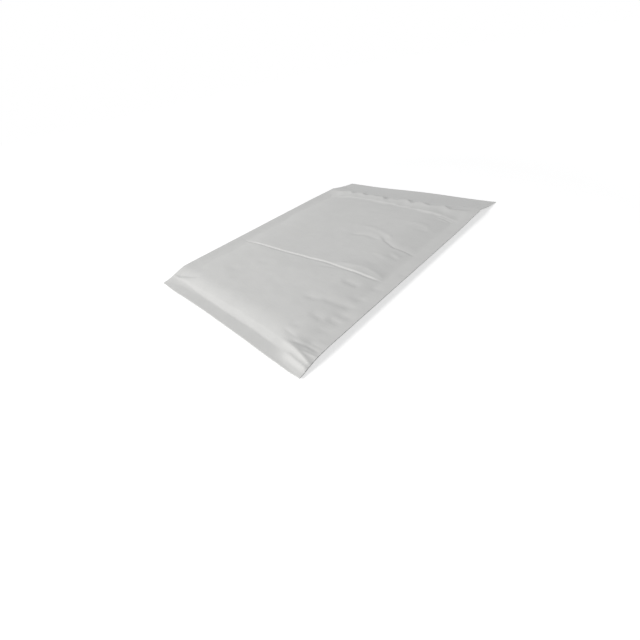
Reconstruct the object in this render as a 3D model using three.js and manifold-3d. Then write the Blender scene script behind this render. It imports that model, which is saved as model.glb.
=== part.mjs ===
// A padded mailing envelope, empty, lying on its back panel with the plain front panel up.
// One sheet of white paper is folded at the closed end and glued flat along that end and both
// sides. A pocket of bubble film lines it. The flap carries a strip of glue under a peel-off
// liner, and hangs from the mouth until its free edge meets the surface.
// Millimetres, +Z up. X runs across the envelope, Y from the closed end towards the flap.
// The origin is the middle of the footprint, on the surface that the envelope lies on.
import * as THREE from "three";
import { mergeVertices } from "three/addons/utils/BufferGeometryUtils.js";
import Module from "manifold-3d";

const wasm = await Module();
wasm.setup();

// Outline of the sheet.
const WIDTH = 216;
const LENGTH = 279; // closed end to flap fold
const FLAP_LENGTH = 45;
const PAPER = 0.4;
const SIDE_SEAM = 12.5;
const CLOSED_SEAM = 12;
const BACK_EDGE_SETBACK = 4; // the back panel stops this far short of the flap fold

// Heights above the surface.
const FOLD_DROP = 2.8; // the flap fold lies this much lower than the padded front
const SEAM_HEIGHT = 7.5; // middle of the glued side seams
const SIDE_TILT = 0.7; // between its ends the left seam stands this much higher, the right one lower
const CLOSED_SEAM_DROP = 3.7; // the closed end hangs lower than the side seams
const CORNER_DROP = 1; // its two corners hang lower still
const MOUTH_LIFT = 0.9; // the flap props the side seams up at the mouth
const CLOSED_REACH = 32; // how far from each end the seam height changes
const MOUTH_REACH = 60;

// How the panels swell from the seams.
const SIDE_SWELL = 36;
const CLOSED_SWELL = 22;
const SWELL_POWER = 2;
const ROLL_HEIGHT = 0.6; // the padding bulges a little along the closed end
const ROLL_CENTRE = 30;
const ROLL_HALF_WIDTH = 12;
const FOLD_RUN = 30; // the front panel comes down from crown to fold over this length

// The old fold line that crosses the front panel, and the gathers where the padding ends.
const CREASE_FROM_END = 109;
const CREASE_SLANT = 12.5; // over the full width
const CREASE_HEIGHT = 0.8;
const CREASE_HALF_WIDTH = 4;
const GATHER_PITCH = 18;
const GATHER_HEIGHT = 0.7;
const GATHER_FROM_FOLD = 26;
const GATHER_HALF_WIDTH = 9;

// The bubble film lining.
const PAD = 2.6; // each of its two layers
const POCKET = 5.4; // how far the two layers stand apart
const GLUE_GAP = 0.3; // between pieces that are stuck together
const LINING_INSET = 6; // from the inner line of the seams
const LINING_SETBACK = 20; // from the flap fold
const POCKET_INSET = 12; // from the inner line of the seams
const POCKET_LEAST = 0.5; // its height where the two layers pinch together

// The flap's closure.
const FLAP_STEEPENING = 0.45; // 0 is a straight flap, 1 lies flat at its free edge
const GLUE_FROM_FOLD = 9;
const GLUE_WIDTH = 18;
const GLUE_END_MARGIN = 7;
const GLUE_THICKNESS = 0.2;
const LINER_OVERHANG = 3; // past each long side of the glue
const LINER_END_MARGIN = 2;
const LINER_THICKNESS = 0.2;

// The grid that the surfaces are drawn on.
const CELL = 10.5;
const LEAST_CELL = 0.5;
const FLAP_CELLS = 6;
const CUT_PAST = 1; // what cuts a piece reaches this far beyond it

const half = WIDTH / 2;
const sideLine = half - SIDE_SEAM;
const gatherLine = LENGTH - GATHER_FROM_FOLD;
const liningEnd = LENGTH - LINING_SETBACK;
const crown = 2 * (PAPER + GLUE_GAP + PAD) + POCKET;
const drop = crown - FOLD_DROP - PAPER;
const flapReach = Math.sqrt(FLAP_LENGTH ** 2 - drop ** 2);
const backEdge = LENGTH - BACK_EDGE_SETBACK;
const middleY = (LENGTH + flapReach) / 2;

// Heights. Here y is counted from the closed end.

const ease = (t) => THREE.MathUtils.smoothstep(t, 0, 1);
const bell = (t) => ease(1 - Math.abs(t));
const swell = (distance, reach) =>
  1 - (1 - THREE.MathUtils.clamp(distance / reach, 0, 1)) ** SWELL_POWER;

function seamHeight(x, y) {
  const nearEnd = 1 - ease(y / CLOSED_REACH);
  const nearCorner = nearEnd * (x / half) ** 2;
  const nearMouth = ease((y - LENGTH + MOUTH_REACH) / MOUTH_REACH);
  const tilt = (SIDE_TILT * (1 - nearEnd) * (1 - nearMouth) * x) / half;
  const ends = MOUTH_LIFT * nearMouth - CLOSED_SEAM_DROP * nearEnd - CORNER_DROP * nearCorner;
  return SEAM_HEIGHT - tilt + ends;
}

// 0 on a seam, 1 where the padding has its full thickness.
function fill(x, y) {
  return swell(sideLine - Math.abs(x), SIDE_SWELL) * swell(y - CLOSED_SEAM, CLOSED_SWELL);
}

function creaseLine(x) {
  return CREASE_FROM_END + (CREASE_SLANT * x) / WIDTH;
}

function panelTop(x, y) {
  const seam = seamHeight(x, y) + PAPER;
  const full = crown - FOLD_DROP * ease((y - LENGTH + FOLD_RUN) / FOLD_RUN);
  const roll = ROLL_HEIGHT * bell((y - ROLL_CENTRE) / ROLL_HALF_WIDTH);
  const crease = CREASE_HEIGHT * Math.max(0, 1 - Math.abs(y - creaseLine(x)) / CREASE_HALF_WIDTH);
  const gatherBand = bell((y - gatherLine) / GATHER_HALF_WIDTH);
  const gather = GATHER_HEIGHT * gatherBand * Math.cos((2 * Math.PI * x) / GATHER_PITCH);
  return seam + (full - seam + roll + crease - gather) * fill(x, y);
}

// The front panel as far as the fold, then the flap down to its free edge.
function front(x, y) {
  if (y <= LENGTH) return panelTop(x, y);
  const along = Math.min((y - LENGTH) / flapReach, 1);
  const fold = panelTop(x, LENGTH) - PAPER;
  return PAPER + fold * (1 - along) * (1 - FLAP_STEEPENING * along);
}

function back(x, y) {
  return (seamHeight(x, y) - PAPER) * (1 - fill(x, y));
}

const frontInside = (x, y) => front(x, y) - PAPER;
const backInside = (x, y) => back(x, y) + PAPER;
const liningTop = (x, y) => frontInside(x, y) - GLUE_GAP;
const liningUnder = (x, y) => backInside(x, y) + GLUE_GAP;
const liningMiddle = (x, y) => (liningTop(x, y) + liningUnder(x, y)) / 2;
const pocketTop = (x, y) => Math.max(liningTop(x, y) - PAD, liningMiddle(x, y) + POCKET_LEAST / 2);
const pocketUnder = (x, y) => Math.min(liningUnder(x, y) + PAD, liningMiddle(x, y) - POCKET_LEAST / 2);

// Grid lines.

// From a to b in equal steps of about CELL, without a itself.
function steps(a, b, most = CELL) {
  const count = Math.max(1, Math.round((b - a) / most));
  return Array.from({ length: count }, (_, i) => a + ((b - a) * (i + 1)) / count);
}

// The lines inside low and high, in order and a least cell apart, with low and high themselves.
function between(lines, low, high) {
  const inside = lines.filter((v) => v > low + LEAST_CELL && v < high - LEAST_CELL).sort((a, b) => a - b);
  return [low, ...inside.filter((v, i) => i === 0 || v - inside[i - 1] > LEAST_CELL), high];
}

const swellSteps = [0.16, 0.36, 0.64, 1];
const sideLines = swellSteps.map((share) => sideLine - share * SIDE_SWELL);
const innerSide = sideLine - SIDE_SWELL;
const halfLines = [...steps(0, innerSide, GATHER_PITCH / 2), ...sideLines.slice(0, -1), sideLine, half];
const acrossLines = [...halfLines.map((x) => -x), 0, ...halfLines].sort((a, b) => a - b);

const crease = [-1, 0, 1].map((side) => CREASE_FROM_END + side * CREASE_HALF_WIDTH);
const rollEnd = ROLL_CENTRE + ROLL_HALF_WIDTH;
const panelLines = [
  CLOSED_SEAM,
  ...swellSteps.map((share) => CLOSED_SEAM + share * CLOSED_SWELL),
  rollEnd,
  ...steps(rollEnd, crease[0]),
  ...crease.slice(1),
  ...steps(crease[2], gatherLine - GATHER_HALF_WIDTH),
  gatherLine,
  liningEnd,
  gatherLine + GATHER_HALF_WIDTH,
  backEdge,
];
const bodyLines = between(panelLines, 0, LENGTH);
const flapLines = steps(LENGTH, LENGTH + flapReach, flapReach / FLAP_CELLS);
const alongLines = [...bodyLines, ...flapLines];

// A grid line near the crease bends with it; lines at the ends stay straight.
function bent(x, line) {
  const reach = line < CREASE_FROM_END ? CREASE_FROM_END - rollEnd : LENGTH - MOUTH_REACH - CREASE_FROM_END;
  const away = Math.max(0, Math.abs(line - CREASE_FROM_END) - CREASE_HALF_WIDTH);
  return line + (creaseLine(x) - CREASE_FROM_END) * (1 - ease(away / (reach - CREASE_HALF_WIDTH)));
}

// Solids.

function solidFrom(geometry) {
  geometry.deleteAttribute("normal");
  geometry.deleteAttribute("uv");
  const merged = mergeVertices(geometry, 1e-4);
  return new wasm.Manifold(
    new wasm.Mesh({
      numProp: 3,
      vertProperties: merged.attributes.position.array,
      triVerts: new Uint32Array(merged.index.array),
    }),
  );
}

// A closed block between two height functions, over a grid of lines.
function block(across, along, top, under) {
  const geometry = new THREE.BoxGeometry(1, 1, 1, across.length - 1, along.length - 1, 1);
  const place = geometry.attributes.position;
  for (let i = 0; i < place.count; i++) {
    const x = across[Math.round((place.getX(i) + 0.5) * (across.length - 1))];
    const y = bent(x, along[Math.round((place.getY(i) + 0.5) * (along.length - 1))]);
    const height = place.getZ(i) > 0 ? top : under;
    place.setXYZ(i, x, y - middleY, height(x, y));
  }
  return solidFrom(geometry);
}

function meshFrom(name, solid, material) {
  const { numVert, numProp, vertProperties, triVerts } = solid.getMesh();
  const positions = new Float32Array(numVert * 3);
  for (let i = 0; i < numVert; i++)
    positions.set(vertProperties.subarray(i * numProp, i * numProp + 3), i * 3);
  const geometry = new THREE.BufferGeometry();
  geometry.setAttribute("position", new THREE.BufferAttribute(positions, 3));
  geometry.setIndex(new THREE.BufferAttribute(triVerts, 1));
  geometry.computeVertexNormals();
  const mesh = new THREE.Mesh(geometry, material);
  mesh.name = name;
  return mesh;
}

// The folded paper: front panel, back panel, the three flat seams and the flap, in one piece.
function outerSheet() {
  const whole = block(acrossLines, alongLines, front, (x, y) => (y < LENGTH ? back(x, y) : 0));
  const inside = block(
    between(acrossLines, -sideLine, sideLine),
    between(alongLines, CLOSED_SEAM, backEdge),
    frontInside,
    backInside,
  );
  const underFlap = block(
    [-half - CUT_PAST, ...acrossLines, half + CUT_PAST],
    [...between(alongLines, backEdge, LENGTH + flapReach), LENGTH + flapReach + CUT_PAST],
    frontInside,
    () => -CUT_PAST,
  );
  return whole.subtract(inside).subtract(underFlap);
}

// The pocket of bubble film: two padded layers joined at the closed end and along both sides.
function bubbleLining() {
  const side = sideLine - LINING_INSET;
  const padding = block(
    between(acrossLines, -side, side),
    between(alongLines, CLOSED_SEAM + LINING_INSET, liningEnd),
    liningTop,
    liningUnder,
  );
  const pocketSide = sideLine - POCKET_INSET;
  const pocket = block(
    between(acrossLines, -pocketSide, pocketSide),
    [...between(alongLines, CLOSED_SEAM + POCKET_INSET, liningEnd), liningEnd + CUT_PAST],
    pocketTop,
    pocketUnder,
  );
  return padding.subtract(pocket);
}

// A thin strip on the inner face of the flap, its near side so far from the fold.
function flapStrip(fromFold, width, endMargin, depth, thickness) {
  const low = LENGTH + fromFold;
  return block(
    between(acrossLines, endMargin - half, half - endMargin),
    between(alongLines, low, low + width),
    (x, y) => front(x, y) - depth,
    (x, y) => front(x, y) - depth - thickness,
  );
}

const glueDepth = PAPER + GLUE_GAP;
const linerDepth = glueDepth + GLUE_THICKNESS + GLUE_GAP;
const linerWidth = GLUE_WIDTH + 2 * LINER_OVERHANG;
const glueStrip = flapStrip(GLUE_FROM_FOLD, GLUE_WIDTH, GLUE_END_MARGIN, glueDepth, GLUE_THICKNESS);
const peelLiner = flapStrip(
  GLUE_FROM_FOLD - LINER_OVERHANG,
  linerWidth,
  LINER_END_MARGIN,
  linerDepth,
  LINER_THICKNESS,
);

const paper = new THREE.MeshStandardMaterial({ color: 0xd2d2d0, roughness: 0.6, metalness: 0 });
const bubbleFilm = new THREE.MeshStandardMaterial({ color: 0xdfe3e6, roughness: 0.25, metalness: 0 });
const glue = new THREE.MeshStandardMaterial({ color: 0xd9cfae, roughness: 0.35, metalness: 0 });
const liner = new THREE.MeshStandardMaterial({ color: 0xf0efe9, roughness: 0.3, metalness: 0 });

const paddedEnvelope = new THREE.Group();
paddedEnvelope.add(
  meshFrom("outer_sheet", outerSheet(), paper),
  meshFrom("bubble_lining", bubbleLining(), bubbleFilm),
  meshFrom("glue_strip", glueStrip, glue),
  meshFrom("peel_liner", peelLiner, liner),
);

export default paddedEnvelope;
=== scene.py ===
"""A padded mailing envelope of plain white paper, empty and open, lying on its back panel.

One die-cut sheet of paper is folded at the closed end and at the flap, and glued flat along three
seams. A pocket of bubble film lines it. The flap carries a band of glue under a peel-off liner.
Metres, +Z up. X runs across the envelope and Y from the closed end towards the flap.
"""

import math
from collections import namedtuple

import bmesh
import bpy
from bpy.props import FloatProperty, FloatVectorProperty, PointerProperty
from bpy.types import Operator, Panel, PropertyGroup
from mathutils import Matrix, Vector, noise


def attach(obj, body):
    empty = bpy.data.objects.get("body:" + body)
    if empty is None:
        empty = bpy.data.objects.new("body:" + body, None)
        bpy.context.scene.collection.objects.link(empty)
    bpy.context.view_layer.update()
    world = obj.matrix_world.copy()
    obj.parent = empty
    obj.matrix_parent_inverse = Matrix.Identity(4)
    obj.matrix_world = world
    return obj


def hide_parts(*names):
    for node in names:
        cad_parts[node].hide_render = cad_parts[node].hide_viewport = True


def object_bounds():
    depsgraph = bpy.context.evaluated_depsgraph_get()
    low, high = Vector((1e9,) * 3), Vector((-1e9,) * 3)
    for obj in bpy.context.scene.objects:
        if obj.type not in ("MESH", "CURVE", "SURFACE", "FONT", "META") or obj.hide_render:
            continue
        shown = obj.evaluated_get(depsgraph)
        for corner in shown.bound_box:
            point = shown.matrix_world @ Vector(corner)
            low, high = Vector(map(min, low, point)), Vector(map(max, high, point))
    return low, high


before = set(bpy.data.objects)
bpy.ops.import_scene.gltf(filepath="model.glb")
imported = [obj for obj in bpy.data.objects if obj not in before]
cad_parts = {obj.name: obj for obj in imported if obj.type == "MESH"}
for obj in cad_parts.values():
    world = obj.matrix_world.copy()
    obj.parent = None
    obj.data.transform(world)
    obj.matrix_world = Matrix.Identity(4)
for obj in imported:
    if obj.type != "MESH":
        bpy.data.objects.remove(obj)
cad_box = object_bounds()

bl_info = {
    "name": "Padded envelope",
    "version": (1, 0, 0),
    "blender": (4, 5, 0),
    "location": "3D View > Sidebar > Envelope",
    "description": "A bubble-lined paper envelope with its flap, glue and peel-off liner",
    "category": "Add Mesh",
}

MM = 0.001
# The front panel from the closed end to the flap's fold, and the flap as it slopes to the surface.
PANEL_LENGTH = 279
FLAP_REACH = (cad_box[1][1] - cad_box[0][1]) / MM - PANEL_LENGTH

# How the panels swell from their seams: a power of 1 rises evenly, and a higher one is steep at first.
SIDE_POWER = 2.0
CLOSED_POWER = 1.65
ROLL_POWER = 1.6
RISE_POWER = 1.5
# The share of the front panel's height at the closed end that its steep roll takes.
ROLL_SHARE = 0.34
# How the front panel falls to the flap's fold: a power of 1 falls evenly.
FOLD_POWER = 1.1
# 0 is a straight flap, 1 lies flat at its free edge.
FLAP_STEEPENING = 0.45
# The flap's free edge lifts off in waves: their length over 2 pi, in millimetres, and where they start.
FLAP_WAVE = 23.0
FLAP_WAVE_START = 0.8
# Up to SHARP_CORNER from the closed end the side seams' inner lines are straight and sharp. Over the
# next SHARP_CORNER_FADE they soften, and the left one begins to waver, in waves of two lengths.
SHARP_CORNER = 16.0
SHARP_CORNER_FADE = 24.0
SHARP_CORNER_SOFTNESS = 0.2
WAVER_LENGTHS = (17.0, 31.0)
# The closed end's uneven edge shifts the sheet over this length.
CLOSED_EDGE_REACH = 24.0
# Share of the short waves' height that is left on the seams.
SEAM_RIPPLE = 0.3
# Share of its mean slope that a crease has at its foot.
FOOT_SLOPE = 0.35
# Half the welded film's thickness, in thicknesses of the flat film.
WELD_THICKNESS = 1.3
# A bubble's rings above its foot: width as a share of the ring below, and rise as a share of its height.
BUBBLE_SIDES = 12
BUBBLE_RINGS = ((0.86, 0.6), (0.7, 0.27), (0.45, 0.13))
# Bubbles that the room between the layers would make flatter than this share are left out.
LEAST_BUBBLE = 0.3
# From the film's open edge to the first row of bubbles, and how far the rows are offset, in pitches.
FIRST_ROW = 0.6
ROW_OFFSET = 0.25
# At an edge the liner stands off by this share of its droop, and at a corner by twice as much.
LINER_EDGE = 2 / 3

# Lines across the front panel, as points (across, from the closed end) in millimetres.
CLOSED_EDGE = ((-108, 0), (-80, -0.8), (-50, -0.2), (-19, 0), (40, -0.3), (75, -0.9), (96, -0.6), (108, 0))
ROLL_FOOT = ((-108, 14), (-95, 14), (-33, 11.5), (-7, 10.9), (18, 11), (39, 11.4), (60, 10.6), (76, 10.4),
             (90, 10.2), (101, 8.6), (108, 8))
OLD_FOLD = ((-108, 106), (-81, 103.6), (-54, 103.4), (-21, 105), (7, 107.6), (34, 110.4), (56, 109.8),
            (77, 111.2), (95, 113.8), (108, 115))
# The mesh's lines near the old fold follow it, up to this far from its mean place.
OLD_FOLD_MEAN = 109
OLD_FOLD_REACH = 71.43
# Where the padding ends under the paper, and where the paper turns down towards the mouth.
PUCKER_LINE = ((-108, 253), (-69, 250.5), (-42, 252.4), (-26, 253.4), (-11, 251.5), (6, 251.4), (21, 249.8),
               (48, 247.6), (63, 246), (78, 245), (91, 242), (104, 238))
MOUTH_CREST = ((-108, 272), (-92, 271), (-74, 266), (-66, 268.5), (-57, 263), (-46, 268), (-35, 262),
               (-27, 266), (-18, 264.5), (-11, 266.5), (-3, 259), (4, 264), (12, 262.5), (24, 268), (33, 261),
               (45, 266), (57, 260), (72, 266), (81, 261), (93, 266), (108, 271))

# The rows of the front panel's mesh: where a stretch ends, and the step between its rows at most.
FRONT_ROWS = ((6, 1.2), (26, 0.8), (101, 2.1), (106, 1.0), (112, 0.5), (117, 1.0), (156, 1.9), (180, 0.8),
              (194, 1.5), (236, 2.2), (270, 1.0))
# Steps between the other points of the meshes, in millimetres. Over the last BACK_CLOSE_ROWS before the
# closed end the back panel's rows take the second of its steps.
SEAM_STEP = 1.6
PANEL_STEP = 1.8
BACK_STEPS = (3.2, 2.0)
BACK_CLOSE_ROWS = 34
FLAP_STEP = 3.2
FILM_EDGE_STEP = 1.2
FILM_STEP = 3.4
BAND_STEP = 3.0
STEPS_TO_A_RIB = 6
LINER_EDGE_STEP = 0.8
LINER_ROW_STEP = 1.0

# A crease is a line with a height at its crest, which it loses over near millimetres towards the
# closed end and over far millimetres towards the mouth. It fades in from its left end and out to
# its right end over start and stop millimetres, and shift moves it towards the mouth. A negative
# height is a valley.
Crease = namedtuple("Crease", "line height near far start stop shift", defaults=(6, 6, 0))
# A swelling is a soft bump, or a dimple if its height is negative.
Swelling = namedtuple("Swelling", "x y half_x half_y height")

CREASES = (
    # The old fold across the panel: a thin valley, then its lip, which slopes off towards the mouth.
    Crease(OLD_FOLD[:-1], -0.74, 2.4, 1.4, start=40, stop=12, shift=-1.2),
    Crease(OLD_FOLD[1:6], 0.28, 1.2, 22, start=10, stop=24),
    Crease(OLD_FOLD[4:-1], 0.34, 1.5, 20, start=24, stop=12, shift=0.3),
    Crease(((38, 112.5), (58, 116.5), (71, 119.5), (84, 118.5), (95, 116.5)), 0.7, 7, 10, 14, 6),
    # The short slack crease beyond it.
    Crease(((47, 177.6), (54, 173), (61, 167.6), (70, 164), (74, 162.4), (80, 163.2), (87, 163.6), (97, 162)),
           -0.95, 1.8, 9, 14, 9),
    Crease(((17, 186), (31, 187.5), (42, 185), (54, 180.6), (68, 174)), 0.5, 5, 6, 8, 10),
    Crease(((15, 167), (35, 171.6), (54, 168.4)), -0.6, 5, 7, 8, 8),
    Crease(((54, 142.4), (72, 144.4), (85, 143)), 0.35, 4, 5, 8, 8),
    Crease(((75, 154), (89, 151.4)), 0.45, 2.4, 4, 4, 4),
    Crease(((76, 149.4), (89, 147.4)), -0.35, 2.6, 3, 4, 4),
    Crease(((57, 213), (67, 217.6), (76, 217), (87, 210)), 0.45, 5, 5, 6, 6),
    Crease(((68, 204.5), (89, 208)), -0.35, 3, 5, 6, 6),
    Crease(((-32, 141), (-10, 148)), -0.25, 3, 6, 8, 8),
    # Short dents along the right side: each is steep on the side of the closed end.
    Crease(((66, 93.8), (76, 94), (86, 94.8)), -1.0, 3.2, 8, 5, 5),
    Crease(((91, 101), (104, 102.6)), -0.55, 2, 4, 4, 3),
    Crease(((30, 102), (54, 106.6)), -0.4, 3.4, 4, 8, 8),
    Crease(((50, 60), (62, 61.6), (72, 64)), -0.8, 4, 9, 8, 7),
    Crease(((66, 65), (82, 67.4), (98, 72)), -0.9, 3.6, 8, 7, 7),
    Crease(((86, 59.2), (106, 61.4)), -0.5, 2.4, 5, 5, 5),
    Crease(((86, 52), (94, 51), (102, 51)), -0.6, 2.6, 5, 4, 4),
    Crease(((72, 47.6), (88, 46.6)), -0.75, 3, 7, 5, 5),
    Crease(((67, 30), (80, 32)), -0.5, 3.4, 6, 4, 4),
    Crease(((87, 38), (103, 40)), -0.45, 2.4, 5, 5, 4),
    Crease(((83, 81), (101, 84)), -0.45, 2.4, 5, 5, 4),
    Crease(((98, 130), (107, 131)), -0.3, 2, 4, 3, 3),
    Crease(((56, 144), (74, 140)), -0.25, 3, 6, 6, 6),
    Crease(((-40, 76), (-8, 80)), -0.25, 4, 8, 10, 10),
    Crease(((-60, 52), (-34, 56)), -0.25, 4, 8, 9, 9),
    Crease(((4, 62), (30, 58)), -0.22, 4, 8, 9, 9),
    # The roll along the closed end, with a sharp start in its left corner.
    Crease(((-95.5, 14.7), (-80, 15.8), (-62, 16.6), (-30, 16.8), (10, 17.4), (50, 17), (84, 16.4)),
           0.4, 6, 13, 3, 30),
    Crease(((-108, 13.3), (-93, 14.8)), 0.45, 2.4, 2, 3, 4),
    Crease(((-97, 14.6), (-86, 16), (-66, 17)), 0.4, 3.6, 7, 3, 14),
    Crease(((-104, 16.6), (-87, 20), (-68, 26)), -0.8, 3, 9, 8, 10),
    # The crest in its right corner, and the wrinkles that run from there to the side edge.
    Crease(((66, 17.4), (80, 15.6), (90, 14.3), (97, 13.2), (108, 11)), 1.5, 4, 4.5, 22, 2),
    Crease(((80, 18), (89, 19.8), (96, 21.2), (108, 21.8)), -0.5, 2.6, 3, 6, 4),
    Crease(((96, 16), (102, 16.8), (108, 18)), 0.55, 1.7, 2, 4, 2),
    Crease(((93, 26.5), (108, 29)), 0.5, 2.6, 4, 6, 3),
    Crease(((66, 24), (84, 22.6)), -0.55, 5, 5, 6, 6),
    Crease(((98, 11.5), (108, 9.5)), -0.25, 1.2, 2, 3, 2),
    Crease(((80, 10), (92, 8.8), (101, 8), (108, 7.2)), 1.35, 4.8, 4, 12, 1.2),
    Crease(((88, 4), (98, 3.4), (108, 2.2)), 0.35, 1.8, 2, 4, 2),
    # Where the padding ends the paper sinks a little, and rises again in puckers.
    Crease(PUCKER_LINE, -1.0, 30, 22, 16, 12),
    Crease(MOUTH_CREST, 1.25, 12, 8, 14, 14),
    Crease(((-76, 252), (-64, 252.6), (-50, 255)), 0.6, 5, 10, 6, 8),
    Crease(((-54, 256.4), (-46, 255), (-38, 256.6)), 0.4, 4, 8, 5, 5),
    Crease(((-42, 254), (-28, 255), (-14, 256)), 0.5, 5, 10, 6, 8),
    Crease(((-18, 254), (-4, 253.4), (12, 253.6)), 0.8, 5, 10, 6, 8),
    Crease(((8, 255.4), (14, 253.8), (22, 254)), 0.4, 3.4, 8, 4, 5),
    Crease(((15, 252), (25, 251.4), (38, 253)), 0.6, 5, 10, 5, 8),
    Crease(((35, 251), (44, 250), (54, 252)), 0.4, 4.4, 8, 4, 7),
    Crease(((47, 249.6), (60, 248), (75, 248.4)), 0.9, 5, 10, 5, 8),
    Crease(((70, 248), (82, 246.6), (98, 245)), 0.8, 3.6, 8, 5, 4),
    Crease(((76, 243.6), (86, 242.6), (96, 241)), 0.7, 2, 4, 4, 4),
    Crease(((78, 239), (93, 238)), 0.45, 2, 4, 5, 4),
)
SWELLINGS = (
    Swelling(-80, 226, 16, 12, 0.35),
    Swelling(-35, 60, 40, 22, -0.3),
    Swelling(10, 84, 45, 16, 0.25),
    Swelling(-62, 21, 60, 12, 0.25),
    Swelling(92, 76, 10, 4, 0.25),
    Swelling(96, 55, 8, 3, 0.25),
)
# These bend the seams too: in the closed end's right corner the paper bulges up behind its drooping
# edge, and the rest of that edge curls up a little.
SEAM_SWELLINGS = (
    Swelling(92, 15.5, 24, 13, 3.3),
    Swelling(99, 0, 26, 9, -0.9),
    Swelling(-40, 0, 95, 11, 0.3),
)

# The photograph's camera, in metres and degrees, and its focal length in millimetres on a 36 mm frame.
CAMERA_PLACE = (0.2253, -0.2295, 0.1598)
CAMERA_AIM = (0.0766, -0.1089, 0.0)
CAMERA_ROLL = -11.6
CAMERA_LENS = 17.344
FRAME_WIDTH = 36.0
# The stage, in metres: the lamp's place, half the floor's width, and from where to where the floor's
# glow rises to white.
KEY_PLACE = (-0.4, -1.76, 1.55)
FLOOR_HALF = 4.0
GLOW_RISE = (0.3, 1.3)
KEY_COLOUR = (1.0, 0.99, 0.975)
SKY_COLOUR = (0.96, 0.975, 1.0, 1)
SEEN_FLOOR_COLOUR = (0.5, 0.5, 0.5, 1)


def size(name, description, millimetres):
    """A length that can be changed in the sidebar."""
    return FloatProperty(
        name=name, description=description, default=millimetres * MM, min=0.0, precision=5, unit="LENGTH"
    )


def colour(name, description, value):
    """A colour that can be changed in the sidebar."""
    return FloatVectorProperty(
        name=name, description=description, default=value, min=0.0, max=1.0, size=3, subtype="COLOR"
    )


class EnvelopeSheet(PropertyGroup):
    """The die-cut sheet of paper."""

    width: size("Width", "Across the closed end", 216)
    length: size("Length", "From the closed end to the flap's fold", PANEL_LENGTH)
    flap_reach: size("Flap reach", "From the fold to the flap's free edge, measured level", FLAP_REACH)
    paper: size("Paper", "Thickness of the paper with its glue", 0.4)
    side_seam: size("Side seam", "Width of the glued seam along each side", 12.5)
    back_setback: size("Back setback", "The back panel stops this far short of the flap's fold", 4)
    ply_gap: size("Ply gap", "Hairline between the two plies of a seam", 0.06)


class EnvelopeForm(PropertyGroup):
    """How the envelope lies and how full its padding is."""

    seam_height: size("Seam height", "Middle of the side seams above the surface", 7.5)
    side_tilt: size("Side tilt", "The left side seam stands higher and the right one lower by this", 0.7)
    left_curl: size("Left curl", "The left side seam's outer edge curls up by this", 0.9)
    closed_seam_drop: size("Closed seam drop", "The closed end hangs lower than the side seams", 3.7)
    corner_drop: size("Corner drop", "The corners of the closed end hang lower still", 1)
    mouth_lift: size("Mouth lift", "The flap props the side seams up at the mouth", 0.9)
    closed_flat: size("Closed flat", "The middle of the closed seam stays level this far", 11)
    closed_reach: size("Closed reach", "Length over which the seams come down to the closed end", 32)
    mouth_reach: size("Mouth reach", "Length over which the seams rise to the mouth", 60)
    side_swell: size("Side swell", "Width over which the padding swells from a side seam", 36)
    closed_swell: size("Closed swell", "Length over which the back panel comes down from the closed end", 32)
    roll_length: size("Roll length", "Length of the front panel's steep roll at the closed end", 16.5)
    rise_length: size("Rise length", "Length over which the front panel then rises slowly", 85)
    seam_waver: size("Seam waver", "How far the left seam's inner line wavers", 4.4)
    seam_softness: size("Seam softness", "Over this the panels begin to swell slowly", 2.2)
    fold_drop: size("Fold drop", "The flap's fold lies lower than the padded front", 3.4)
    pad: size("Pad", "Height of one layer of bubble film", 2.6)
    pocket: size("Pocket", "Distance between the two layers of film", 5.4)
    glue_gap: size("Glue gap", "Distance between film and paper", 0.3)
    flap_lift: size("Flap lift", "How far the flap's free edge lifts off in places", 0.9)


class EnvelopeRipple(PropertyGroup):
    """The uneven surface of paper over bubbles."""

    swell_height: size("Swell height", "Height of the broad waves", 0.34)
    swell_length: size("Swell length", "Length of the broad waves", 28)
    ripple_height: size("Ripple height", "Height of the short waves", 0.17)
    ripple_length: size("Ripple length", "Length of the short waves", 9)
    crinkle_height: size("Crinkle height", "Height of the wrinkles on the seams", 0.1)
    crinkle_length: size("Crinkle length", "Length of the wrinkles on the seams", 13)


class EnvelopeFilm(PropertyGroup):
    """The pocket of bubble film."""

    side_inset: size("Side inset", "From a side seam's inner line to the film's weld", 6)
    closed_inset: size("Closed inset", "From the closed end to the film's fold", 20)
    corner_inset: size("Corner inset", "How far the film draws in at the corners of its fold", 10)
    corner_reach: size("Corner reach", "Length over which it draws in there", 25)
    mouth_setback: size("Mouth setback", "From the flap's fold to the film's open edge", 20)
    film: size("Film", "Thickness of the flat film", 0.2)
    slack: size("Slack", "How far the film hangs clear of the creased front panel", 1.5)
    weld: size("Weld", "Width over which the two layers come together", 7)
    pitch: size("Pitch", "From one bubble to the next in a row", 10)
    bubble_width: size("Bubble width", "Width of a bubble at its foot", 8.6)
    bubble_height: size("Bubble height", "Height of a bubble", 2.2)
    bubble_room: size("Bubble room", "Clear space that a bubble leaves to the other layer", 0.4)


class EnvelopeClosure(PropertyGroup):
    """The flap's band of glue and the liner that covers it."""

    glue_from_fold: size("Glue from fold", "From the flap's fold to the band of glue", 9)
    glue_width: size("Glue width", "Width of the band of glue", 18)
    glue_margin: size("Glue margin", "From the flap's ends to the band of glue", 7)
    glue_thickness: size("Glue thickness", "Thickness of the band of glue", 0.25)
    glue_rib: size("Glue rib", "Height of the ribs that the glue nozzle leaves", 0.05)
    glue_rib_pitch: size("Glue rib pitch", "Distance between those ribs", 2.6)
    liner_overhang: size("Liner overhang", "How far the liner reaches past the glue", 3)
    liner_margin: size("Liner margin", "From the flap's ends to the liner", 2)
    liner_thickness: size("Liner thickness", "Thickness of the liner", 0.12)
    liner_droop: size("Liner droop", "How far the liner's loose edges stand off", 0.35)
    contact: size("Contact", "Hairline between pieces that are stuck together", 0.06)


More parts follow.
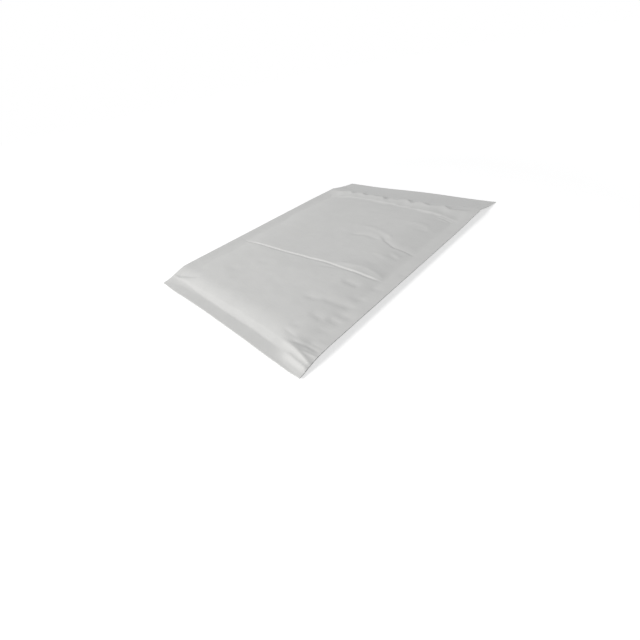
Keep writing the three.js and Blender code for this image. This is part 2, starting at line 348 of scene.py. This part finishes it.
class EnvelopeColours(PropertyGroup):
    """Colours of the pieces and of the stage."""

    paper: colour("Paper", "White paper", (0.62, 0.62, 0.61))
    film: colour("Film", "Clear bubble film", (0.72, 0.76, 0.79))
    glue: colour("Glue", "Hot-melt glue", (0.72, 0.64, 0.42))
    liner: colour("Liner", "Silicone-coated liner", (0.86, 0.85, 0.80))
    floor: colour("Floor", "Studio floor", (0.80, 0.80, 0.80))


class EnvelopeLight(PropertyGroup):
    """The soft studio light."""

    key_strength: FloatProperty(name="Key strength", description="Lamp beyond the closed end", default=2.42)
    key_softness: FloatProperty(
        name="Key softness", description="Angle the lamp fills", default=math.radians(22), unit="ROTATION"
    )
    sky_strength: FloatProperty(name="Sky strength", description="Light from all round", default=0.35)
    floor_glow: FloatProperty(name="Floor glow", description="Whitens the floor near the piece", default=0.64)


# Shapes of a height along a line: t runs from 0 to 1.


def ease(t):
    t = min(max(t, 0.0), 1.0)
    return t * t * (3.0 - 2.0 * t)


def bell(t):
    return ease(1.0 - abs(t))


def swell(distance, reach, power):
    """0 up to a seam and 1 from reach on."""
    return 1.0 - (1.0 - min(max(distance / reach, 0.0), 1.0)) ** power


def slow_start(distance, softness):
    """The distance, but with its first millimetres counting for less."""
    distance = max(distance, 0.0)
    return distance - softness * (1.0 - math.exp(-distance / softness))


def line_at(line, x):
    """Where the line crosses x: smooth between its points, with the ends held beyond them."""
    if x <= line[0][0]:
        return line[0][1]
    for (x0, y0), (x1, y1) in zip(line, line[1:]):
        if x <= x1:
            t = (x - x0) / (x1 - x0)
            return y0 + (y1 - y0) * (0.5 * t + 0.5 * ease(t))
    return line[-1][1]


def crease_height(one, x, y):
    """What a crease adds at a place: fullest on its line, nothing at its feet."""
    left = one.line[0][0]
    right = one.line[-1][0]
    if x < left or x > right:
        return 0.0
    past = y - line_at(one.line, x) - one.shift
    share = 1.0 + past / one.near if past < 0 else 1.0 - past / one.far
    if share <= 0:
        return 0.0
    fade = ease((x - left) / one.start) * ease((right - x) / one.stop)
    return one.height * fade * share * (FOOT_SLOPE + (1 - FOOT_SLOPE) * share)


def swelling_height(one, x, y):
    return one.height * bell((x - one.x) / one.half_x) * bell((y - one.y) / one.half_y)


def wave(x, y, length, seed):
    """Smooth noise between about -1 and 1, its waves twice as long across the envelope as along it."""
    return noise.noise(Vector((x / (2.0 * length), y / length, seed)))


class Form:
    """The envelope's sizes in millimetres and the heights of its surfaces.

    Here y is counted from the closed end.
    """

    def __init__(self, scene):
        groups = (
            scene.envelope_sheet,
            scene.envelope_form,
            scene.envelope_ripple,
            scene.envelope_film,
            scene.envelope_closure,
        )
        for group in groups:
            for name in type(group).__annotations__:
                setattr(self, name, getattr(group, name) / MM)
        self.half = self.width / 2
        self.side_line = self.half - self.side_seam
        self.crown = 2 * (self.paper + self.glue_gap + self.pad) + self.pocket
        self.middle_y = (self.length + self.flap_reach) / 2
        self.film_side = self.side_line - self.side_inset
        self.film_end = self.length - self.mouth_setback

    def point(self, x, y, z):
        """A vertex in the row's frame, in millimetres."""
        return Vector((x, y - self.middle_y, z))

    def seam(self, x, y):
        """Middle height of the glued seams."""
        flat = self.closed_flat * (1 - (x / self.half) ** 4)
        near_end = 1 - ease((y - flat) / (self.closed_reach - flat))
        near_mouth = ease((y - self.length + self.mouth_reach) / self.mouth_reach)
        along_side = (1 - near_end) * (1 - near_mouth)
        tilt = self.side_tilt * along_side * x / self.half
        curl = self.left_curl * along_side * ease((-x - self.side_line) / self.side_seam)
        corner = self.corner_drop * near_end * (x / self.half) ** 2
        ends = self.mouth_lift * near_mouth - self.closed_seam_drop * near_end - corner
        crinkle = self.crinkle_height * wave(x, y, self.crinkle_length, 5.0)
        bent = sum(swelling_height(one, x, y) for one in SEAM_SWELLINGS)
        return self.seam_height - tilt + curl + ends + crinkle + bent

    def waver(self, x, y):
        """How far the left seam's inner line lies inwards of its plain place."""
        if x >= 0:
            return 0.0
        short, long = WAVER_LENGTHS
        waves = 1 + math.sin(y / short) * math.cos(y / long)
        return ease((y - SHARP_CORNER) / SHARP_CORNER_FADE) * self.seam_waver * waves

    def side_fill(self, x, y):
        """0 on a side seam, 1 where the panels are full across their width."""
        from_side = self.side_line - abs(x) - self.waver(x, y)
        softened = ease((y - SHARP_CORNER) / SHARP_CORNER_FADE)
        soft = self.seam_softness * (SHARP_CORNER_SOFTNESS + (1 - SHARP_CORNER_SOFTNESS) * softened)
        return swell(slow_start(from_side, soft), self.side_swell, SIDE_POWER)

    def fill(self, x, y):
        """0 on a seam, 1 where the back panel lies flat."""
        return self.side_fill(x, y) * swell(y - line_at(ROLL_FOOT, x), self.closed_swell, CLOSED_POWER)

    def front_fill(self, x, y):
        """0 on a seam, 1 where the front panel has its full height."""
        past_foot = y - line_at(ROLL_FOOT, x)
        roll = swell(past_foot, self.roll_length, ROLL_POWER)
        rise = swell(past_foot, self.rise_length, RISE_POWER)
        return self.side_fill(x, y) * (ROLL_SHARE * roll + (1 - ROLL_SHARE) * rise)

    def smooth_top(self, x, y):
        """The front panel without its creases."""
        seam = self.seam(x, y) + self.paper
        turn = line_at(MOUTH_CREST, x)
        full = self.crown - self.fold_drop * max(0.0, (y - turn) / (self.length - turn)) ** FOLD_POWER
        return seam + (full - seam) * self.front_fill(x, y)

    def panel_top(self, x, y):
        """The front panel's outer face."""
        height = self.smooth_top(x, y)
        fill = self.fill(x, y)
        height += fill * self.swell_height * wave(x, y, self.swell_length, 1.0)
        ripple = self.ripple_height * wave(x, y, self.ripple_length, 2.0)
        height += (SEAM_RIPPLE + (1 - SEAM_RIPPLE) * fill) * ripple
        height += sum(crease_height(one, x, y) for one in CREASES)
        return height + sum(swelling_height(one, x, y) for one in SWELLINGS)

    def flap_top(self, x, y):
        """The flap's outer face, from its fold down to its free edge."""
        share = min((y - self.length) / self.flap_reach, 1.0)
        fold = self.panel_top(x, self.length) - self.paper
        lift = self.flap_lift * ease(share) * (0.5 + 0.5 * math.sin(x / FLAP_WAVE + FLAP_WAVE_START))
        return self.paper + fold * (1 - share) * (1 - FLAP_STEEPENING * share) + lift

    def back_under(self, x, y):
        """The back panel's outer face, which rests on the surface where the padding is full."""
        dent = max(0.0, wave(x, y, self.swell_length, 3.0)) * self.swell_height
        fill = self.fill(x, y)
        return (self.seam(x, y) - self.paper) * (1 - fill) + dent * fill

    def end_shift(self, x, y):
        """The closed end's edge isn't quite straight."""
        return line_at(CLOSED_EDGE, x) * (1 - ease(y / CLOSED_EDGE_REACH))

    def back_point(self, x, y):
        return self.point(x, y + self.end_shift(x, y), self.back_under(x, y))

    def bend_point(self, x, angle):
        """On the fold at the closed end, from -90 degrees under it to 90 above it."""
        turn = math.radians(angle)
        y = self.paper * (1 - math.cos(turn))
        height = self.seam(x, y) + self.paper * math.sin(turn)
        return self.point(x, y + self.end_shift(x, y), height)

    def front_point(self, x, y):
        if y > self.length:
            return self.point(x, y, self.flap_top(x, y))
        return self.point(x, y + self.end_shift(x, y), self.panel_top(x, y))

    # The bubble film. It keeps clear of the creased paper by its slack.

    def film_over(self, x, y):
        return self.smooth_top(x, y) - self.paper - self.glue_gap - self.slack * self.fill(x, y)

    def film_under(self, x, y):
        return self.back_under(x, y) + self.paper + self.glue_gap

    def film_reach(self, x, y):
        """From the middle to the film's edge on this side."""
        from_fold = y - self.closed_inset
        drawn_in = self.corner_inset * (1 - ease(from_fold / self.corner_reach))
        return self.film_side - self.waver(x, y) - drawn_in

    def film_apart(self, x, y):
        """0 where the two layers are welded together, 1 where they stand apart."""
        edge = min(self.film_reach(x, y) - abs(x), y - self.closed_inset)
        return ease(edge / self.weld)

    def film_height(self, x, y, side):
        """Outer face of the upper layer (side 1) or of the lower one (side -1)."""
        over = self.film_over(x, y)
        under = self.film_under(x, y)
        middle = (over + under) / 2
        apart = max((over - under) / 2 * self.film_apart(x, y), self.film * WELD_THICKNESS)
        return middle + side * apart

    def film_point(self, x, y, side):
        x *= self.film_reach(x, y) / self.film_side
        return self.point(x, y, self.film_height(x, y, side))

    # The flap's inner face, where glue and liner are.

    def flap_under(self, x, y, depth):
        return self.flap_top(x, y) - self.paper - depth


# Making meshes.


def steps(low, *pairs):
    """Lines from low on, in equal steps: each pair is where a stretch ends and its step at most."""
    lines = [low]
    for high, most in pairs:
        start = lines[-1]
        count = max(1, math.ceil((high - start) / most - 1e-6))
        lines += [start + (high - start) * (i + 1) / count for i in range(count)]
    return lines


def formed_grid(columns, rows, place):
    """A flat grid with that many columns and rows of points, each point put where place says."""
    bm = bmesh.new()
    bmesh.ops.create_grid(bm, x_segments=len(columns) - 1, y_segments=len(rows) - 1, size=0.5)
    for vert in bm.verts:
        column = columns[round((vert.co.x + 0.5) * (len(columns) - 1))]
        row = rows[round((vert.co.y + 0.5) * (len(rows) - 1))]
        vert.co = place(column, row)
    return bm


def thicken(bm, thickness):
    """Gives a formed sheet its thickness, on the side away from its faces."""
    bm.normal_update()
    bmesh.ops.solidify(bm, geom=bm.faces[:], thickness=thickness)
    bmesh.ops.recalc_face_normals(bm, faces=bm.faces[:])


def add_piece(name, bm, material, sharp_angle=50):
    """Turns a bmesh in millimetres into an object in metres at the origin."""
    bmesh.ops.scale(bm, vec=(MM, MM, MM), verts=bm.verts[:])
    mesh = bpy.data.meshes.new(name)
    bm.to_mesh(mesh)
    bm.free()
    mesh.shade_smooth()
    mesh.set_sharp_from_angle(angle=math.radians(sharp_angle))
    mesh.materials.append(material)
    piece = bpy.data.objects.new(name, mesh)
    bpy.context.scene.collection.objects.link(piece)
    return piece


# Materials.


def new_material(name):
    material = bpy.data.materials.new(name)
    material.use_nodes = True
    nodes = material.node_tree.nodes
    links = material.node_tree.links
    shader = nodes["Principled BSDF"]
    place = nodes.new("ShaderNodeTexCoord").outputs["Object"]
    return material, nodes, links, shader, place


def noise_node(nodes, links, place, scale, detail=3.0, stretch=(1, 1, 1)):
    """Noise on the object's own coordinates, scale waves to the metre."""
    mapping = nodes.new("ShaderNodeMapping")
    mapping.inputs["Scale"].default_value = stretch
    texture = nodes.new("ShaderNodeTexNoise")
    texture.inputs["Scale"].default_value = scale
    texture.inputs["Detail"].default_value = detail
    links.new(place, mapping.inputs["Vector"])
    links.new(mapping.outputs["Vector"], texture.inputs["Vector"])
    return texture.outputs["Fac"]


def spread(nodes, links, value, low, high):
    """Maps noise, which lies mostly between 0.3 and 0.7, to low and high."""
    node = nodes.new("ShaderNodeMapRange")
    node.inputs["From Min"].default_value = 0.3
    node.inputs["From Max"].default_value = 0.7
    node.inputs["To Min"].default_value = low
    node.inputs["To Max"].default_value = high
    links.new(value, node.inputs["Value"])
    return node.outputs["Result"]


def mottle(nodes, links, colour_value, value, depth):
    """The colour, darker by up to depth where the noise is low."""
    node = nodes.new("ShaderNodeMix")
    node.data_type = "RGBA"
    node.inputs["A"].default_value = (*[c * (1 - depth) for c in colour_value], 1)
    node.inputs["B"].default_value = (*[min(1.0, c * (1 + depth)) for c in colour_value], 1)
    links.new(value, node.inputs["Factor"])
    return node.outputs["Result"]


def bump(nodes, links, height, distance, strength=1.0, normal=None):
    node = nodes.new("ShaderNodeBump")
    node.inputs["Strength"].default_value = strength
    node.inputs["Distance"].default_value = distance
    links.new(height, node.inputs["Height"])
    if normal is not None:
        links.new(normal, node.inputs["Normal"])
    return node.outputs["Normal"]


def paper_material(colours):
    """Satin white paper: cloudy formation, fine fibres and small crinkles."""
    material, nodes, links, shader, place = new_material("white_paper")
    cloud = noise_node(nodes, links, place, 70.0, 4.0)
    fibre = noise_node(nodes, links, place, 900.0, 4.0, (1.0, 0.35, 1.0))
    crinkle = noise_node(nodes, links, place, 130.0, 5.0, (0.55, 1.0, 1.0))
    tone = mottle(nodes, links, colours.paper, spread(nodes, links, cloud, 0.0, 1.0), 0.02)
    links.new(tone, shader.inputs["Base Color"])
    links.new(spread(nodes, links, cloud, 0.46, 0.55), shader.inputs["Roughness"])
    wrinkled = bump(nodes, links, crinkle, 0.35 * MM, 0.5)
    links.new(bump(nodes, links, fibre, 0.03 * MM, 0.6, wrinkled), shader.inputs["Normal"])
    shader.inputs["Specular IOR Level"].default_value = 0.36
    return material


def film_material(colours):
    """Clear glossy polyethylene film with faint draw lines."""
    material, nodes, links, shader, place = new_material("bubble_film")
    draw = noise_node(nodes, links, place, 260.0, 2.0, (1.0, 0.12, 1.0))
    tone = mottle(nodes, links, colours.film, draw, 0.05)
    links.new(tone, shader.inputs["Base Color"])
    links.new(spread(nodes, links, draw, 0.10, 0.22), shader.inputs["Roughness"])
    links.new(bump(nodes, links, draw, 0.1 * MM, 0.5), shader.inputs["Normal"])
    shader.inputs["Alpha"].default_value = 0.55
    shader.inputs["IOR"].default_value = 1.5
    return material


def glue_material(colours):
    """Amber hot-melt glue, smooth and tacky."""
    material, nodes, links, shader, place = new_material("glue")
    flow = noise_node(nodes, links, place, 120.0, 2.0, (0.1, 1.0, 1.0))
    links.new(mottle(nodes, links, colours.glue, flow, 0.12), shader.inputs["Base Color"])
    links.new(spread(nodes, links, flow, 0.18, 0.32), shader.inputs["Roughness"])
    links.new(bump(nodes, links, flow, 0.1 * MM, 0.6), shader.inputs["Normal"])
    shader.inputs["Coat Weight"].default_value = 0.4
    return material


def liner_material(colours):
    """Silicone-coated liner paper, slightly glossy."""
    material, nodes, links, shader, place = new_material("liner_paper")
    grain = noise_node(nodes, links, place, 700.0, 4.0, (0.4, 1.0, 1.0))
    links.new(mottle(nodes, links, colours.liner, grain, 0.025), shader.inputs["Base Color"])
    links.new(spread(nodes, links, grain, 0.26, 0.36), shader.inputs["Roughness"])
    links.new(bump(nodes, links, grain, 0.03 * MM, 0.5), shader.inputs["Normal"])
    shader.inputs["Coat Weight"].default_value = 0.25
    return material


# The pieces.


class ENVELOPE_OT_fold_paper(Operator):
    """Fold the die-cut sheet into back panel, front panel and flap."""

    bl_idname = "envelope.fold_paper"
    bl_label = "Fold the paper"

    def execute(self, context):
        form = Form(context.scene)
        side = form.side_line
        columns = steps(-form.half, (-side, SEAM_STEP), (side, PANEL_STEP), (form.half, SEAM_STEP))
        back_edge = form.length - form.back_setback
        far_step, close_step = BACK_STEPS
        back_lines = steps(0, (back_edge - BACK_CLOSE_ROWS, far_step), (back_edge - 1, close_step))
        back = [(form.back_point, back_edge - y) for y in back_lines]
        bend = [(form.bend_point, angle) for angle in (-90, -45, 0, 45, 90)]
        front_lines = steps(
            1,
            *FRONT_ROWS,
            (form.length - 1.2, 1.0),
            (form.length + 1.2, 0.4),
            (form.length + 6, 1.2),
            (form.length + form.flap_reach, FLAP_STEP),
        )
        front = [(form.front_point, y) for y in front_lines]

        def place(x, row):
            shape, along = row
            if shape == form.front_point and along < form.length:
                # Lines near the old fold bend with it; those far from it stay straight.
                away = abs(along - OLD_FOLD_MEAN) / OLD_FOLD_REACH
                along += (line_at(OLD_FOLD, x) - OLD_FOLD_MEAN) * (1 - ease(away))
            return shape(x, along)

        bm = formed_grid(columns, back + bend + front, place)
        thicken(bm, form.paper - form.ply_gap)
        piece = add_piece("folded_paper", bm, paper_material(context.scene.envelope_colours))
        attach(piece, "root")
        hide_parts("outer_sheet")
        return {"FINISHED"}


class ENVELOPE_OT_weld_film(Operator):
    """Weld the bubble film into a pocket."""

    bl_idname = "envelope.weld_film"
    bl_label = "Weld the bubble film"

    def execute(self, context):
        form = Form(context.scene)
        low = form.closed_inset
        inner = form.film_side - form.weld
        columns = steps(
            -form.film_side, (-inner, FILM_EDGE_STEP), (inner, FILM_STEP), (form.film_side, FILM_EDGE_STEP)
        )
        lines = steps(low, (low + form.weld, FILM_EDGE_STEP), (form.film_end, FILM_STEP))
        rows = [(y, -1) for y in reversed(lines)] + [(y, 1) for y in lines]
        bm = formed_grid(columns, rows, lambda x, row: form.film_point(x, *row))
        thicken(bm, form.film)
        self.add_bubbles(form, bm)
        piece = add_piece("bubble_film_pocket", bm, film_material(context.scene.envelope_colours), 60)
        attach(piece, "root")
        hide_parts("bubble_lining")
        return {"FINISHED"}

    def bubble_shape(self):
        """One bubble of unit width and height: a foot ring, a shoulder ring and a small cap."""
        bm = bmesh.new()
        bmesh.ops.create_circle(bm, cap_ends=True, segments=BUBBLE_SIDES, radius=0.5)
        foot = bm.faces[:]
        cap = foot
        for scale, rise in BUBBLE_RINGS:
            grown = bmesh.ops.extrude_face_region(bm, geom=cap)["geom"]
            if cap is not foot:
                bmesh.ops.delete(bm, geom=cap, context="FACES_ONLY")
            ring = [part for part in grown if isinstance(part, bmesh.types.BMVert)]
            bmesh.ops.translate(bm, verts=ring, vec=(0, 0, rise))
            bmesh.ops.scale(bm, verts=ring, vec=(scale, scale, 1))
            cap = [part for part in grown if isinstance(part, bmesh.types.BMFace)]
        bmesh.ops.recalc_face_normals(bm, faces=bm.faces[:])
        mesh = bpy.data.meshes.new("bubble_shape")
        bm.to_mesh(mesh)
        bm.free()
        return mesh

    def add_bubbles(self, form, bm):
        """Bubbles in offset rows on the inner face of both layers."""
        shape = self.bubble_shape()
        row_pitch = form.pitch * math.sqrt(3) / 2
        row_count = int((form.film_end - form.closed_inset - form.pitch) / row_pitch)
        column_count = int((2 * form.film_side - 1.5 * form.pitch) / form.pitch)
        for side in (1, -1):
            for row in range(row_count):
                y = form.film_end - form.pitch * FIRST_ROW - row * row_pitch
                offset = ROW_OFFSET if row % 2 else -ROW_OFFSET
                for column in range(column_count):
                    x = (column - (column_count - 1) / 2 + offset) * form.pitch
                    self.add_bubble(form, bm, shape, x, y, side)
        bpy.data.meshes.remove(shape)

    def add_bubble(self, form, bm, shape, x, y, side):
        """One bubble, no higher than the room that the other layer leaves it."""
        room = form.film_height(x, y, 1) - form.film_height(x, y, -1) - 2 * form.film
        height = min(form.bubble_height, (room - form.bubble_room) / 2)
        if height < form.bubble_height * LEAST_BUBBLE:
            return
        before = len(bm.verts)
        bm.from_mesh(shape)
        bm.verts.ensure_lookup_table()
        for vert in bm.verts[before:]:
            across = x + vert.co.x * form.bubble_width
            along = y + vert.co.y * form.bubble_width
            inner = form.film_height(across, along, side) - side * form.film
            vert.co = form.point(across, along, inner - side * vert.co.z * height)
        if side > 0:
            faces = {face for vert in bm.verts[before:] for face in vert.link_faces}
            bmesh.ops.reverse_faces(bm, faces=list(faces))


class ENVELOPE_OT_lay_glue(Operator):
    """Lay the band of glue and its liner on the flap's inner face."""

    bl_idname = "envelope.lay_glue"
    bl_label = "Lay glue and liner"

    def execute(self, context):
        form = Form(context.scene)
        colours = context.scene.envelope_colours
        self.lay_band(form, glue_material(colours))
        self.lay_liner(form, liner_material(colours))
        return {"FINISHED"}

    def lay_band(self, form, material):
        reach = form.half - form.glue_margin
        low = form.length + form.glue_from_fold
        rib = form.glue_rib_pitch

        def place(x, y):
            ribs = form.glue_rib * math.cos(2 * math.pi * (y - low) / rib)
            depth = form.contact + form.glue_thickness + form.glue_rib + ribs
            return form.point(x, y, form.flap_under(x, y, depth))

        columns = steps(-reach, (reach, BAND_STEP))
        rows = steps(low, (low + form.glue_width, rib / STEPS_TO_A_RIB))
        bm = formed_grid(columns, rows, place)
        thicken(bm, -form.glue_thickness)
        piece = add_piece("glue_band", bm, material)
        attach(piece, "root")
        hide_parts("glue_strip")

    def lay_liner(self, form, material):
        reach = form.half - form.liner_margin
        low = form.length + form.glue_from_fold - form.liner_overhang
        high = low + form.glue_width + 2 * form.liner_overhang
        glue_depth = 2 * form.contact + form.glue_thickness + 2 * form.glue_rib
        glue_reach = form.half - form.glue_margin

        def place(x, y):
            loose = max(0.0, low + form.liner_overhang - y, y - high + form.liner_overhang)
            past_end = max(0.0, abs(x) - glue_reach)
            loosened = ease(loose / form.liner_overhang) + ease(past_end / (reach - glue_reach))
            depth = glue_depth + form.liner_thickness + form.liner_droop * LINER_EDGE * loosened
            return form.point(x, y, form.flap_under(x, y, depth))

        columns = steps(
            -reach, (-glue_reach, LINER_EDGE_STEP), (glue_reach, BAND_STEP), (reach, LINER_EDGE_STEP)
        )
        bm = formed_grid(columns, steps(low, (high, LINER_ROW_STEP)), place)
        thicken(bm, -form.liner_thickness)
        piece = add_piece("release_liner", bm, material)
        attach(piece, "root")
        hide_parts("peel_liner")


# The stage.


def seen_directly(nodes, links):
    """1 for rays of the camera, of reflections and of see-through film."""
    path = nodes.new("ShaderNodeLightPath")
    total = path.outputs["Is Camera Ray"]
    for name in ("Is Glossy Ray", "Is Transmission Ray"):
        add = nodes.new("ShaderNodeMath")
        add.operation = "ADD"
        add.use_clamp = True
        links.new(total, add.inputs[0])
        links.new(path.outputs[name], add.inputs[1])
        total = add.outputs["Value"]
    return total


def floor_material(scene):
    """Pale floor: a plain matt surface for light, and near white with soft shadows to the eye.

    Far off, where the lamp lights it less, it glows more.
    """
    material = bpy.data.materials.new("studio_floor")
    material.use_nodes = True
    nodes = material.node_tree.nodes
    links = material.node_tree.links
    nodes.clear()
    matt = nodes.new("ShaderNodeBsdfDiffuse")
    matt.inputs["Color"].default_value = (*scene.envelope_colours.floor, 1)
    pale = nodes.new("ShaderNodeBsdfDiffuse")
    pale.inputs["Color"].default_value = SEEN_FLOOR_COLOUR
    glow = nodes.new("ShaderNodeEmission")
    away = nodes.new("ShaderNodeVectorMath")
    away.operation = "LENGTH"
    rise = nodes.new("ShaderNodeMapRange")
    rise.inputs["From Min"].default_value = GLOW_RISE[0]
    rise.inputs["From Max"].default_value = GLOW_RISE[1]
    rise.inputs["To Min"].default_value = scene.envelope_light.floor_glow
    rise.inputs["To Max"].default_value = 1.0
    links.new(nodes.new("ShaderNodeTexCoord").outputs["Object"], away.inputs[0])
    links.new(away.outputs["Value"], rise.inputs["Value"])
    links.new(rise.outputs["Result"], glow.inputs["Strength"])
    both = nodes.new("ShaderNodeAddShader")
    mix = nodes.new("ShaderNodeMixShader")
    out = nodes.new("ShaderNodeOutputMaterial")
    links.new(pale.outputs["BSDF"], both.inputs[0])
    links.new(glow.outputs["Emission"], both.inputs[1])
    links.new(seen_directly(nodes, links), mix.inputs["Fac"])
    links.new(matt.outputs["BSDF"], mix.inputs[1])
    links.new(both.outputs["Shader"], mix.inputs[2])
    links.new(mix.outputs["Shader"], out.inputs["Surface"])
    return material


def set_world(scene):
    """Even light from all round, white where it is seen directly."""
    world = bpy.data.worlds.new("studio_sky")
    world.use_nodes = True
    nodes = world.node_tree.nodes
    links = world.node_tree.links
    nodes.clear()
    sky = nodes.new("ShaderNodeBackground")
    sky.inputs["Color"].default_value = SKY_COLOUR
    sky.inputs["Strength"].default_value = scene.envelope_light.sky_strength
    white = nodes.new("ShaderNodeBackground")
    white.inputs["Color"].default_value = (1, 1, 1, 1)
    mix = nodes.new("ShaderNodeMixShader")
    out = nodes.new("ShaderNodeOutputWorld")
    links.new(seen_directly(nodes, links), mix.inputs["Fac"])
    links.new(sky.outputs["Background"], mix.inputs[1])
    links.new(white.outputs["Background"], mix.inputs[2])
    links.new(mix.outputs["Shader"], out.inputs["Surface"])
    scene.world = world


def aimed(place, aim, roll=0.0):
    """The turn and place of something at place whose -Z looks at aim."""
    place = Vector(place)
    turn = (Vector(aim) - place).to_track_quat("-Z", "Y").to_matrix().to_4x4()
    return Matrix.Translation(place) @ turn @ Matrix.Rotation(math.radians(roll), 4, "Z")


class ENVELOPE_OT_set_stage(Operator):
    """Set floor, light and camera."""

    bl_idname = "envelope.set_stage"
    bl_label = "Set the stage"

    def execute(self, context):
        scene = context.scene
        self.add_floor(scene)
        self.add_key(scene)
        self.add_camera(scene)
        set_world(scene)
        scene.view_settings.view_transform = "Standard"
        return {"FINISHED"}

    def add_floor(self, scene):
        bm = bmesh.new()
        bmesh.ops.create_grid(bm, x_segments=8, y_segments=8, size=FLOOR_HALF)
        mesh = bpy.data.meshes.new("studio_floor")
        bm.to_mesh(mesh)
        bm.free()
        mesh.materials.append(floor_material(scene))
        floor = bpy.data.objects.new("studio_floor", mesh)
        scene.collection.objects.link(floor)

    def add_key(self, scene):
        away = Vector(KEY_PLACE).length
        light = bpy.data.lights.new("key_light", "AREA")
        light.shape = "DISK"
        light.size = 2 * away * math.tan(scene.envelope_light.key_softness / 2)
        light.energy = scene.envelope_light.key_strength * math.pi * away**2
        light.color = KEY_COLOUR
        lamp = bpy.data.objects.new("key_light", light)
        lamp.visible_camera = False
        lamp.matrix_world = aimed(KEY_PLACE, (0.0, 0.0, 0.0))
        scene.collection.objects.link(lamp)

    def add_camera(self, scene):
        data = bpy.data.cameras.new("photo_camera")
        data.sensor_fit = "HORIZONTAL"
        data.sensor_width = FRAME_WIDTH
        data.lens = CAMERA_LENS
        data.clip_start = 0.01
        camera = bpy.data.objects.new("photo_camera", data)
        camera.matrix_world = aimed(CAMERA_PLACE, CAMERA_AIM, CAMERA_ROLL)
        scene.collection.objects.link(camera)
        scene.camera = camera


SETTINGS = {
    "envelope_sheet": EnvelopeSheet,
    "envelope_form": EnvelopeForm,
    "envelope_ripple": EnvelopeRipple,
    "envelope_film": EnvelopeFilm,
    "envelope_closure": EnvelopeClosure,
    "envelope_colours": EnvelopeColours,
    "envelope_light": EnvelopeLight,
}
OPERATORS = (ENVELOPE_OT_set_stage, ENVELOPE_OT_fold_paper, ENVELOPE_OT_weld_film, ENVELOPE_OT_lay_glue)


class ENVELOPE_PT_sidebar(Panel):
    """Sizes, colours and the steps that make the envelope."""

    bl_idname = "ENVELOPE_PT_sidebar"
    bl_label = "Padded envelope"
    bl_space_type = "VIEW_3D"
    bl_region_type = "UI"
    bl_category = "Envelope"

    def draw(self, context):
        layout = self.layout
        for attribute, group in SETTINGS.items():
            box = layout.box()
            box.label(text=group.__doc__)
            for name in group.__annotations__:
                box.prop(getattr(context.scene, attribute), name)
        for operator in OPERATORS:
            layout.operator(operator.bl_idname)


def register():
    for group in SETTINGS.values():
        bpy.utils.register_class(group)
    for attribute, group in SETTINGS.items():
        setattr(bpy.types.Scene, attribute, PointerProperty(type=group))
    for operator in OPERATORS:
        bpy.utils.register_class(operator)
    bpy.utils.register_class(ENVELOPE_PT_sidebar)


def unregister():
    bpy.utils.unregister_class(ENVELOPE_PT_sidebar)
    for operator in reversed(OPERATORS):
        bpy.utils.unregister_class(operator)
    for attribute in SETTINGS:
        delattr(bpy.types.Scene, attribute)
    for group in reversed(SETTINGS.values()):
        bpy.utils.unregister_class(group)


def main():
    register()
    bpy.ops.envelope.set_stage()
    bpy.ops.envelope.fold_paper()
    bpy.ops.envelope.weld_film()
    bpy.ops.envelope.lay_glue()


if __name__ == "__main__":
    main()
